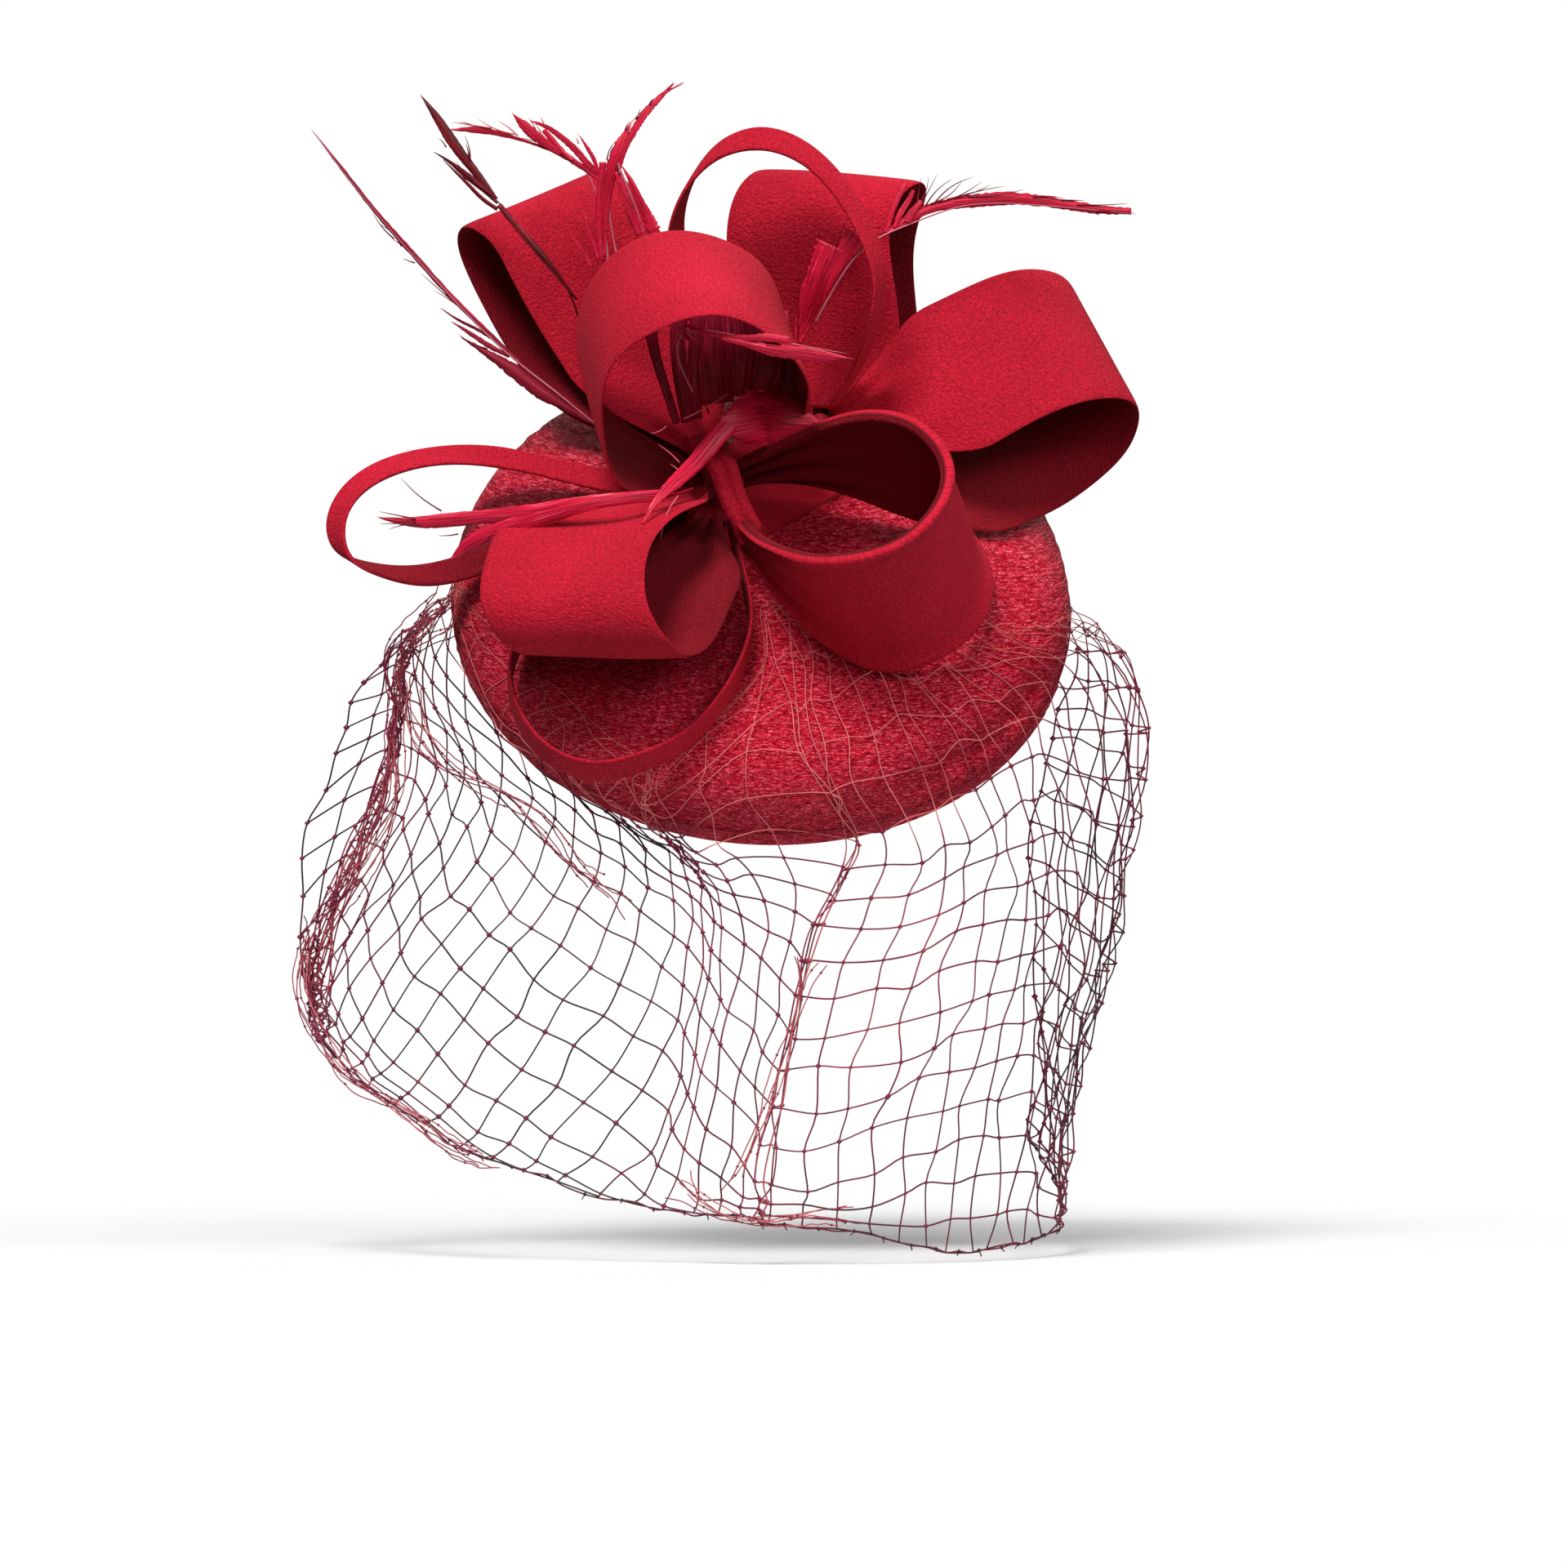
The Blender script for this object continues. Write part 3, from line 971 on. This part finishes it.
def feather(node, quill, blades, barbs, seed):
    dice = np.random.default_rng(seed)
    line, _ = curve(quill, 90)
    stem, vane, loose = Pile(), Pile(), Pile()
    tube(stem, line, np.linspace(*QUILL_RADII, len(line)), sides=6)
    ahead = AHEAD_OF_QUILL.get(node, USUAL_DISTANCE)
    for number, keys in enumerate(blades):
        blade(vane, line, keys, ahead + number * BLADE_STEP, dice, node in SMOOTH_EDGED)
    for ends in barbs:
        single_barb(loose, line, ends, ahead + 0.6, dice)
    finish = FINISHES.get(node, VANE)
    vane.make(node + "_vane", finish, stands_for=[node], slot="feather")
    loose.make(node + "_barbs", PALE_BARB if node in PALE_BARBED else DARK_BARB, slot="feather")
    stem.make(node + "_quill", finish if node in SMOOTH_EDGED else QUILL, slot="feather")


for seed, (node, parts) in enumerate(FEATHERS.items()):
    feather(node, seed=seed + 100, **parts)

# ---- veil --------------------------------------------------------------------------
# Folds of the net from the hat down to the hem, as seen from the front (x, z in mm), how many of the
# points lie on the hat, and the depth of the first free point, the middle and the hem. The last two
# numbers are the net squeezed between this fold and the next, and the net drawn in at the hem, in mm.
VEIL_FOLDS = [
    ([(-100, 6), (-116, -6), (-133, -23), (-142, -48), (-151, -72), (-153, -92), (-151, -113),
      (-147, -136)], 0, (2, 0, -15), 4, 45),
    ([(-100, 7), (-112, -2), (-119, -13), (-121, -29), (-124, -48), (-133, -70), (-142, -91), (-150, -116)],
     0, (0, -6, -18), 95, 48),
    ([(-99, 8), (-111, -2), (-117, -14), (-119, -32), (-122, -52), (-130, -74), (-139, -97), (-146, -138)],
     0, (-3, -14, -22), 30, 48),
    ([(-99, 8), (-110, -6), (-111, -28), (-104, -53), (-114, -79), (-126, -98), (-138, -117), (-143, -141)],
     0, (-3, -30, -35), 10, 46),
    ([(-97, 8), (-100, -6), (-99, -26), (-92, -48), (-88, -70), (-100, -94), (-116, -119), (-129, -155)],
     0, (-4, -48, -50), 0, 42),
    ([(-81, -13), (-89, -29), (-79, -47), (-75, -63), (-79, -83), (-89, -103), (-102, -125), (-111, -145),
      (-115, -162)], 2, (-34, -62, -62), 0, 36),
    ([(-64, -26), (-79, -41), (-65, -56), (-60, -72), (-62, -91), (-70, -112), (-79, -134), (-87, -156),
      (-93, -176)], 2, (-45, -75, -74), 0, 26),
    ([(-50, -39), (-65, -53), (-49, -67), (-41, -85), (-41, -105), (-43, -125), (-50, -145), (-62, -167),
      (-71, -182)], 2, (-55, -86, -84), 0, 14),
    ([(-37, -48), (-49, -62), (-35, -75), (-26, -94), (-23, -113), (-25, -132), (-27, -151), (-35, -172),
      (-48, -190)], 2, (-64, -95, -92), 16, 8),
    ([(-35, -52), (-35, -63), (-19, -80), (-7, -97), (-8, -118), (-12, -140), (-18, -167), (-22, -194)],
     2, (-74, -100, -98), 6, 10),
    ([(0, -26), (-11, -48), (-7, -70), (8, -89), (8, -113), (1, -140), (-4, -167), (-7, -194)],
     3, (-82, -106, -104), 0, 26),
    ([(2, -2), (8, -26), (15, -53), (27, -72), (18, -97), (10, -126), (2, -161), (-3, -195)],
     4, (-85, -108, -106), 16, 34),
    ([(5, 2), (12, -26), (19, -55), (31, -73), (22, -97), (13, -128), (6, -161), (1, -196)],
     4, (-88, -111, -109), 16, 34),
    ([(9, 1), (16, -26), (21, -53), (29, -72), (19, -95), (11, -125), (5, -160), (1, -197)],
     4, (-82, -105, -103), 0, 34),
    ([(19, -4), (29, -29), (36, -53), (46, -78), (36, -107), (28, -134), (21, -167), (19, -198)],
     3, (-84, -108, -106), 0, 34),
    ([(19, 5), (29, -10), (43, -32), (52, -56), (59, -80), (51, -113), (43, -143), (36, -172), (35, -200)],
     4, (-80, -104, -104), 0, 24),
    ([(31, -2), (43, -20), (58, -35), (67, -56), (73, -80), (67, -113), (59, -145), (52, -175), (50, -204)],
     4, (-74, -97, -98), 8, 8),
    ([(42, -1), (54, -17), (70, -32), (81, -53), (86, -80), (82, -116), (74, -148), (69, -178), (66, -207)],
     4, (-64, -86, -90), 10, 0),
    ([(55, -2), (70, -15), (86, -26), (96, -48), (100, -80), (97, -116), (89, -148), (85, -178),
      (83, -205)], 3, (-50, -68, -75), 10, 0),
    ([(74, -5), (86, -10), (105, -16), (112, -40), (113, -78), (109, -116), (102, -145), (99, -175),
      (97, -202)], 2, (-20, -35, -48), 8, 20),
    ([(97, -4), (117, -13), (127, -40), (124, -72), (119, -107), (109, -145), (101, -175), (100, -194)],
     1, (0, 5, -20), 5, 24),
    ([(101, -1), (119, -10), (127, -48), (120, -83), (112, -116), (100, -148), (100, -172), (97, -186)],
     0, (0, 30, 10), 12, 24),
    ([(102, 2), (110, -6), (113, -40), (102, -78), (100, -110), (96, -140), (97, -167), (92, -178)],
     0, (4, 48, 30), 8, 20),
    ([(102, 3), (105, -10), (97, -40), (90, -78), (92, -110), (93, -140), (94, -161), (89, -172)],
     0, (8, 58, 42), 0, 20),
]
ROWS = 18
# Between these two folds the mesh hangs on the bias: its rows drop and its columns lean.
BIAS_FROM, BIAS_TO = 2, 9
BIAS_DROP = 0.42
BIAS_LEAN = 0.22
# Distances in mm: folds, knots and threads stand off the cover; net nearer to it than NEAR_HAT is laid on
# it; a thread is inside the hat down to HAT_DEPTH behind the cover.
LIFT_OFF_HAT = 0.6
KNOT_OFF_HAT = 0.7
THREAD_OFF_HAT = 0.4
NEAR_HAT = 30
HAT_DEPTH = 22
# Radii of the net's threads in mm, how uneven they are, and how much thinner they are on the hat.
ROW_THREAD = 0.29
COLUMN_THREAD = 0.28
OUTER_THREAD = 0.31
HEM_THREAD = 0.30
LOOSE_THREAD = 0.22
UNEVEN = 0.03
THINNED_ON_HAT = 0.38
# Knots: half their width in mm, and how much smaller again they are on the hat.
KNOT = (0.65, 1.05)
HEM_KNOT = 0.75
BUNCH_KNOT = 0.55
SMALLER_ON_HAT = 0.45
# Where thread in front of the wearer's face is paler: middle and reach across, then in height, in mm.
FACE = ((40, 45), (-120, 70))
# Bunches where the net is gathered into a cord of strands: path (x, z), strands, half width.
BUNCHES = [
    ([(-99, 5), (-111, -5), (-120, -15), (-119, -27), (-120, -41), (-121, -57), (-125, -71), (-135, -90),
      (-145, -104), (-149, -114)], 13, 3.2),
    ([(-147, -100), (-149, -113), (-149, -126), (-144, -138), (-135, -150), (-121, -159), (-109, -166),
      (-97, -173), (-81, -178)], 8, 2.4),
    ([(-120, -20), (-113, -39), (-99, -52), (-79, -62), (-70, -70), (-61, -83), (-51, -90),
      (-39, -95)], 6, 3.0),
    ([(-26, -184), (-16, -192), (-2, -196), (18, -195), (34, -196)], 5, 2.2),
    ([(17, -110), (11, -132), (5, -151), (-2, -171), (-8, -190)], 4, 2.0),
]


def fold_line(points, on_hat, depths):
    """A fold in 3-D: depth comes from the cover where the net lies on the hat."""
    flat = np.array(points, float)
    count = len(flat)
    ys = np.full(count, np.nan)
    ys[[on_hat, (on_hat + count) // 2, -1]] = depths
    for k in range(on_hat):
        found = on_cover(*flat[k])
        if found is not None:
            ys[k] = found - LIFT_OFF_HAT
    known = ~np.isnan(ys)
    ys = np.interp(np.arange(count), np.arange(count)[known], ys[known])
    return curve(np.stack([flat[:, 0], ys, flat[:, 1]], -1), 160)


def rows_along(line, total, tuck):
    """Knots up the fold: the hem is drawn in, then true pitch, then squeezed together towards the hat."""
    free = 0.6 * total
    wanted = np.arange(ROWS + 1) * CELL
    wanted = 0.28 * np.minimum(wanted, tuck) + np.maximum(wanted - tuck, 0)
    up = np.where(wanted < free, wanted, free + (wanted - free) * (total - free) / (wanted[-1] - free))
    return at_places((1 - up / total) * (len(line) - 1), line)


def catmull(points, steps):
    """Smooth line through points."""
    points = np.asarray(points)
    ends = np.concatenate([points[:1] * 2 - points[1:2], points, points[-1:] * 2 - points[-2:-1]])
    q = np.arange(steps)[:, None] / steps
    rows = []
    for k in range(len(points) - 1):
        a, b, c, d = ends[k:k + 4]
        square, cube = 2 * a - 5 * b + 4 * c - d, 3 * b - a - 3 * c + d
        rows.append(0.5 * (2 * b + (c - a) * q + square * q**2 + cube * q**3))
    return np.concatenate(rows + [points[-1:]])


def veil_sheet():
    """The drape as a surface: one row of points per millimetre across, one point per cell of height."""
    ribs = np.array([rows_along(*fold_line(points, on_hat, depths), tuck)
                     for points, on_hat, depths, squeeze, tuck in VEIL_FOLDS])
    squeezed = np.array([fold[3] for fold in VEIL_FOLDS[:-1]])
    gaps = np.linalg.norm(np.diff(ribs[:, 2:12], axis=0), axis=2).mean(axis=1) + squeezed
    spots = np.r_[0, np.cumsum(gaps)]
    fine_s = np.arange(0, spots[-1], 1.0)
    fine = np.empty((len(fine_s), ROWS + 1, 3))
    for i in range(ROWS + 1):
        fine[:, i] = at_places(fine_s, ribs[:, i], spots)
    reach = np.arange(-9, 10)
    weights = np.exp(-(reach / 3.6) ** 2)
    weights /= weights.sum()
    padded = np.concatenate([np.repeat(fine[:1], 9, 0), fine, np.repeat(fine[-1:], 9, 0)])
    return sum(w * padded[9 + r:9 + r + len(fine)] for r, w in zip(reach, weights)), spots


def on_sheet(sheet, s, t):
    """Point of the drape s mm across it and t cells up from the hem."""
    s = np.clip(s, 0, len(sheet) - 1.001)
    t = np.clip(t, 0, ROWS - 0.001)
    a, i = s.astype(int), t.astype(int)
    p, q = (s - a)[..., None], (t - i)[..., None]
    near = sheet[a, i] * (1 - q) + sheet[a, i + 1] * q
    far = sheet[a + 1, i] * (1 - q) + sheet[a + 1, i + 1] * q
    return near * (1 - p) + far * p


def lattice(sheet, spots):
    """Knots of the net: on the left panel the mesh hangs on the bias, further right it hangs straight."""
    columns = int(spots[-1] / CELL)
    across = np.linspace(0, spots[-1], columns + 1)
    start, stop = spots[BIAS_FROM], spots[BIAS_TO]
    drop = BIAS_DROP * np.clip(across - start, 0, stop - start) / CELL
    lean = BIAS_LEAN * smooth((stop - across) / 60) * smooth(across / 60)
    cells = np.arange(ROWS + 1 + int(drop[-1]) + 1)
    t = cells[None, :] - drop[:, None]
    s = across[:, None] + lean[:, None] * np.clip(t, 0, ROWS) * CELL
    return on_sheet(sheet, s, t), t


def settle(net, height, dice):
    """Crumple the net and lay it on the hat; returns where it lies there and how pale its thread is."""
    columns, rows = height.shape
    across = np.gradient(net, axis=0)
    down = np.gradient(net, axis=1)
    normal = unit(np.cross(across, down) + 1e-6)
    wide = np.linalg.norm(across, axis=-1)
    tall = np.linalg.norm(down, axis=-1)
    # Where the net is squeezed its spare thread stands up in small folds.
    sign = np.where((np.arange(columns)[:, None] + np.arange(rows)[None, :] // 2) % 2 == 0, 1.0, -1.0)
    spare = np.sqrt(np.clip(CELL**2 - wide**2, 0, None)) * 0.18
    net += normal * (sign * np.clip(spare, 0, 2.0) * dice.uniform(0.4, 1.0, sign.shape))[..., None]
    net += dice.normal(0, 1, net.shape) * np.clip(np.minimum(wide, tall) / CELL, 0.25, 1.0)[..., None]
    on_hat = np.zeros((columns, rows))
    for j in range(columns):
        for i in range(rows):
            x, y, z = net[j, i]
            front = on_cover(x, z)
            if front is not None and abs(front - y) < NEAR_HAT:
                x, z = x + dice.normal(0, 1.1), z + dice.normal(0, 1.1)
                front = on_cover(x, z) or front
                net[j, i] = x, min(y, front - KNOT_OFF_HAT - abs(dice.normal(0, 0.5))), z
                on_hat[j, i] = 1.0
    squeeze = np.clip(1 - wide / CELL, 0, 1)
    (x, x_reach), (z, z_reach) = FACE
    face = np.exp(-((net[..., 0] - x) / x_reach) ** 2) * np.exp(-((net[..., 2] - z) / z_reach) ** 2)
    tone = np.maximum(on_hat, np.maximum(0.75 * squeeze, 0.6 * face)) + dice.normal(0, 0.08, on_hat.shape)
    return on_hat, np.clip(tone, 0, 1)


def strand(pile, points, tones, radius, thinning=1.0):
    """Thread through knots, kept off the cover; tones and thinning are one number or one per knot."""
    path = catmull(points, 4)
    for k in range(1, len(path) - 1):
        front = on_cover(path[k, 0], path[k, 2])
        if front is not None and 0 < path[k, 1] - front + THREAD_OFF_HAT < HAT_DEPTH:
            path[k, 1] = front - THREAD_OFF_HAT
    given = np.stack([np.broadcast_to(tones, len(points)), np.broadcast_to(thinning, len(points))], -1)
    shade, thin = at_places(np.linspace(0, len(points) - 1, len(path)), given).T
    tube(pile, path, radius * thin, uv=np.stack([np.repeat(shade, 5), np.zeros(5 * len(path))], -1))


def draw_net(pile, sheet, spots, dice):
    net, height = lattice(sheet, spots)
    columns, rows = height.shape
    on_hat, tone = settle(net, height, dice)
    real = (height > -1) & (height < ROWS + 1)
    edges = (0, columns - 1)
    thick = (1 - THINNED_ON_HAT * on_hat) * np.interp(height, [ROWS - 3, ROWS], [1, 0.5])
    for i in range(rows):
        row = np.flatnonzero(real[:, i])
        if len(row) > 3:
            radius = ROW_THREAD + dice.uniform(-UNEVEN, UNEVEN)
            strand(pile, net[row, i], tone[row, i], radius, thick[row, i])
    for j in range(columns):
        row = np.flatnonzero(real[j])
        radius = OUTER_THREAD if j in edges else COLUMN_THREAD + dice.uniform(-UNEVEN, UNEVEN)
        strand(pile, net[j, row], tone[j, row], radius, thick[j, row])
    for j in range(columns):
        for i in np.flatnonzero((height[j] > 0) & (height[j] < ROWS)):
            size = dice.uniform(*KNOT) * (1.2 if j in edges else 1.0)
            size *= thick[j, i] * (1 - SMALLER_ON_HAT * on_hat[j, i])
            bead(pile, net[j, i], size, uv=(max(tone[j, i], 0.5), 0))


def draw_hem(pile, sheet, spots, dice):
    """The cut lower edge: a thicker strand with the stubs of the cells that were cut through."""
    places = np.arange(0, spots[-1], CELL / 2)
    hem = on_sheet(sheet, places, np.zeros(len(places))) + dice.normal(0, 0.4, (len(places), 3))
    strand(pile, hem, 0.3, HEM_THREAD)
    for point in hem[::2]:
        stub = point + np.array([dice.normal(0, 0.8), dice.normal(0, 0.5), -dice.uniform(0.6, 2.0)])
        tube(pile, [point, (point + stub) / 2, stub], LOOSE_THREAD, sides=4)
        bead(pile, point, HEM_KNOT)


def draw_bunch(pile, drape, points, count, half, dice):
    """Strands gathered along a path of the front view, just in front of the drape."""
    flat, total = curve([(x, 0, z) for x, z in points], max(12, int(len(points) * 6)))
    for k in range(len(flat)):
        reach = np.hypot(drape[:, 0] - flat[k, 0], drape[:, 2] - flat[k, 2])
        close = drape[reach < max(9.0, reach.min() + 0.5)]
        flat[k, 1] = close[:, 1].min() - 0.6
    flat[:, 1] = np.convolve(np.pad(flat[:, 1], 4, "edge"), np.ones(9) / 9, "valid")
    sideways = unit(np.cross(np.gradient(flat, axis=0), [0, 1.0, 0]))
    step = np.linspace(0, total, len(flat))
    flare = 1 + 2.2 * np.abs(2 * step / total - 1) ** 6
    for _ in range(count):
        wave = half * flare * (dice.uniform(-0.9, 0.9) + dice.normal(0, 0.05, len(step))
                               + 0.55 * np.sin(step / dice.uniform(6, 14) + dice.uniform(0, 6)))
        path = flat + sideways * wave[:, None]
        path[:, 1] += 1.2 * np.sin(step / dice.uniform(7, 15) + dice.uniform(0, 6))
        path = path[int(dice.uniform(0, 0.08) * len(path)):int(dice.uniform(0.86, 1.0) * len(path))]
        strand(pile, path, dice.uniform(0.5, 0.8), LOOSE_THREAD)
        for k in range(int(dice.uniform(0, 5)), len(path), 7):
            bead(pile, path[k], BUNCH_KNOT, uv=(0.4, 0))


def make_veil():
    dice = np.random.default_rng(21)
    sheet, spots = veil_sheet()
    pile = Pile()
    draw_net(pile, sheet, spots, dice)
    draw_hem(pile, sheet, spots, dice)
    for points, count, half in BUNCHES:
        draw_bunch(pile, sheet[::4].reshape(-1, 3), points, count, half, dice)
    pile.make("veil_strands", NET, stands_for=["veil_net"], slot="veil")


make_veil()

# ---- hardware and stitching: the CAD shapes with their real finishes --------------------
HARDWARE = {
    STEEL: ("clip_base", "clip_jaw", "clip_pin"),
    SPRING: ("clip_spring", "rim_wire"),
    COMB: ("comb",),
    THREAD: ("comb_stitches", "veil_stitches", "veil_gathering_thread"),
}
for finish, nodes in HARDWARE.items():
    for node in nodes:
        slots = frame["nodes"][node].data.materials
        if not slots:
            slots.append(finish)
        for k in range(len(slots)):
            slots[k] = finish


# ---- stage and camera: in metres -----------------------------------------------------
def area(name, at, size, power, target=(0, 0, 0)):
    lamp = bpy.data.lights.new(name, "AREA")
    lamp.size = size
    lamp.energy = power
    obj = new_object(name, lamp, at)
    obj.rotation_euler = (Vector(target) - Vector(at)).to_track_quat("-Z", "Y").to_euler()


def make_floor():
    """A pale floor just under the veil, which fades out round the piece."""
    mesh = bpy.data.meshes.new("floor")
    far = 0.6
    mesh.from_pydata([(-far, -far, 0), (far, -far, 0), (far, far, 0), (-far, far, 0)], [], [(0, 1, 2, 3)])
    floor = new_object("floor", mesh, (0, 0, cad_box[0][2] - FLOOR_GAP * MM))
    look = Look("pale_floor")
    look.finish(rgba((0.93, 0.93, 0.93)), Roughness=0.9)
    away = look.add("VectorMath", dict(operation="LENGTH"), _0=look.where["Object"]).outputs["Value"]
    fade = look.add("MapRange", dict(interpolation_type="SMOOTHERSTEP"), Value=away, From_Max=0.45)
    clear = look.add("BsdfTransparent").outputs[0]
    blend = look.add("MixShader", _0=fade.outputs["Result"], _1=look.shader.outputs[0], _2=clear)
    look.fill(look.nodes["Material Output"], Surface=blend.outputs[0])
    mesh.materials.append(look.material)


def make_world():
    """White to the camera, and a faint white light on the piece."""
    world = bpy.data.worlds.new("studio")
    bpy.context.scene.world = world
    world.use_nodes = True
    nodes, links = world.node_tree.nodes, world.node_tree.links
    light, seen = nodes["Background"], nodes.new("ShaderNodeBackground")
    for background, strength in ((light, 0.13), (seen, 1.0)):
        background.inputs["Color"].default_value = (1, 1, 1, 1)
        background.inputs["Strength"].default_value = strength
    choose = nodes.new("ShaderNodeMixShader")
    path = nodes.new("ShaderNodeLightPath")
    links.new(path.outputs["Is Camera Ray"], choose.inputs[0])
    links.new(light.outputs[0], choose.inputs[1])
    links.new(seen.outputs[0], choose.inputs[2])
    links.new(choose.outputs[0], nodes["World Output"].inputs["Surface"])


def make_camera():
    bpy.context.scene.view_settings.view_transform = "Standard"
    lens = bpy.data.cameras.new("camera")
    lens.lens = 208
    lens.sensor_width = 36
    lens.clip_end = 60
    camera = new_object("camera", lens, (0.0078, -3.0, -0.0562))
    camera.rotation_euler = (math.pi / 2, 0, 0)
    bpy.context.scene.camera = camera


make_floor()
make_world()
area("key", (-0.7, -1.4, 2.4), size=1.0, power=77)
area("fill", (1.7, -1.3, 1.5), size=0.8, power=19)
area("front", (0.5, -2.6, 0.9), size=1.0, power=11)
area("rim", (0.4, 1.3, 1.6), size=0.8, power=6, target=(0, 0, 0.05))
make_camera()
